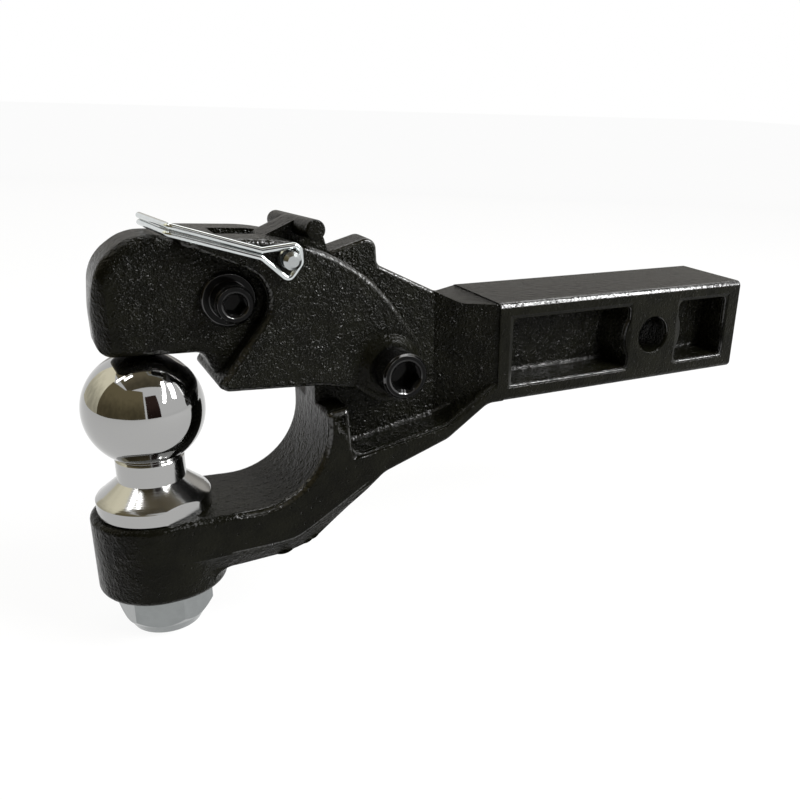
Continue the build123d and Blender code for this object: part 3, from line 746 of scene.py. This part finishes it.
def light_world(studio):
    """White where the camera or a reflection looks past the stage, a softer level elsewhere."""
    world = bpy.data.worlds.new("studio")
    world.use_nodes = True
    tree = world.node_tree
    tree.nodes.clear()
    path = tree.nodes.new("ShaderNodeLightPath")
    seen = tree.nodes.new("ShaderNodeMath")
    seen.operation = "MAXIMUM"
    tree.links.new(path.outputs["Is Camera Ray"], seen.inputs[0])
    tree.links.new(path.outputs["Is Transmission Ray"], seen.inputs[1])
    shown = tree.nodes.new("ShaderNodeMath")
    shown.operation = "MAXIMUM"
    tree.links.new(seen.outputs[0], shown.inputs[0])
    tree.links.new(path.outputs["Is Glossy Ray"], shown.inputs[1])
    level = tree.nodes.new("ShaderNodeMapRange")
    level.inputs["To Min"].default_value = studio.ambient
    level.inputs["To Max"].default_value = 1.0
    tree.links.new(shown.outputs[0], level.inputs["Value"])
    background = tree.nodes.new("ShaderNodeBackground")
    background.inputs["Color"].default_value = (1.0, 1.0, 1.0, 1.0)
    tree.links.new(level.outputs[0], background.inputs["Strength"])
    output = tree.nodes.new("ShaderNodeOutputWorld")
    tree.links.new(background.outputs[0], output.inputs["Surface"])
    bpy.context.scene.world = world


class HITCH_OT_stage(bpy.types.Operator):
    """Set up the floor, the room behind the camera, the lamps and the camera"""

    bl_idname = "hitch.stage"
    bl_label = "Set up the stage"

    def execute(self, context):
        studio = context.scene.hitch_studio
        bpy.ops.object.select_all(action="DESELECT")
        bpy.ops.mesh.primitive_plane_add(size=FLOOR_WIDTH, location=(0.0, 0.0, FLOOR_Z))
        floor = context.object
        floor.name = "floor"
        floor.data.materials.append(floor_material("floor white"))
        light_world(studio)
        place_camera()
        ball_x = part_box("tow_ball")[0].x + BALL_RADIUS * MM
        ball = Vector((ball_x, 0.0, JAW_PIVOT.z))
        middle = (ball + JAW_PIVOT) * 0.5
        wall = glow_material("side wall", studio.wall_colour)
        room = glow_material("room", studio.room_colour)
        curtain = glow_material("curtain", studio.curtain_colour)
        backdrop = glow_material("backdrop", studio.backdrop_colour)
        for name, azimuth, width, height, material in (
            ("side wall", -92.0, 1.6, 2.4, wall),
            ("back wall left", -45.0, 1.5, 2.2, room),
            ("back wall right", 0.0, 1.4, 2.2, room),
            ("curtain beside the window", 38.0, 0.75, 1.5, curtain),
            ("backdrop", 180.0, 2.8, 1.1, backdrop),
        ):
            place = away(middle, azimuth, 0.0, CARD_REACH)
            place.z = FLOOR_Z + height / 2
            card(name, place, (middle.x, middle.y, place.z), width, height, material)
        above = (middle.x, middle.y, CEILING_HEIGHT)
        below = (middle.x, middle.y, 0.0)
        ceiling = glow_material("ceiling", studio.ceiling_colour)
        card("ceiling", above, below, CEILING_WIDTH, CEILING_WIDTH, ceiling)
        for name, power, azimuth, elevation, distance, width, height, lean in (
            ("window softbox", studio.window_watts, 91.0, 33.0, 1.15, 0.16, 0.55, 25.0),
            ("key lamp", studio.key_watts, 71.0, 38.0, 1.1, 0.09, 0.8, 29.0),
            ("overhead softbox", studio.overhead_watts, 170.0, 50.0, 1.2, 1.2, 0.5, 0.0),
            ("left ceiling strip", studio.strip_watts, -62.0, 58.0, 1.2, 0.08, 0.3, 0.0),
            ("right ceiling strip", studio.strip_watts, -48.0, 68.0, 1.2, 0.08, 0.3, 0.0),
        ):
            place = away(middle, azimuth, elevation, distance)
            lamp(name, power, place, middle, width, height, lean)
        context.scene.view_settings.view_transform = "Standard"
        return {"FINISHED"}


class HITCH_PT_panel(bpy.types.Panel):
    """Lists the steps in the sidebar"""

    bl_idname = "HITCH_PT_panel"
    bl_label = "Duckbill hitch"
    bl_space_type = "VIEW_3D"
    bl_region_type = "UI"
    bl_category = "Hitch"

    def draw(self, context):
        for step in STEPS:
            self.layout.operator(step.bl_idname)
        for settings in (context.scene.hitch_look, context.scene.hitch_studio):
            box = self.layout.box()
            for name in settings.__annotations__:
                box.prop(settings, name)


STEPS = (
    HITCH_OT_body,
    HITCH_OT_jaw,
    HITCH_OT_lever,
    HITCH_OT_screws,
    HITCH_OT_bearings,
    HITCH_OT_pin,
    HITCH_OT_ball,
    HITCH_OT_stage,
)
CLASSES = (HitchLook, HitchStudio) + STEPS + (HITCH_PT_panel,)


def register():
    for item in CLASSES:
        bpy.utils.register_class(item)
    bpy.types.Scene.hitch_look = PointerProperty(type=HitchLook)
    bpy.types.Scene.hitch_studio = PointerProperty(type=HitchStudio)


def unregister():
    del bpy.types.Scene.hitch_studio
    del bpy.types.Scene.hitch_look
    for item in reversed(CLASSES):
        bpy.utils.unregister_class(item)


def main():
    register()
    for step in STEPS:
        group, name = step.bl_idname.split(".")
        getattr(getattr(bpy.ops, group), name)()


if __name__ == "__main__":
    main()
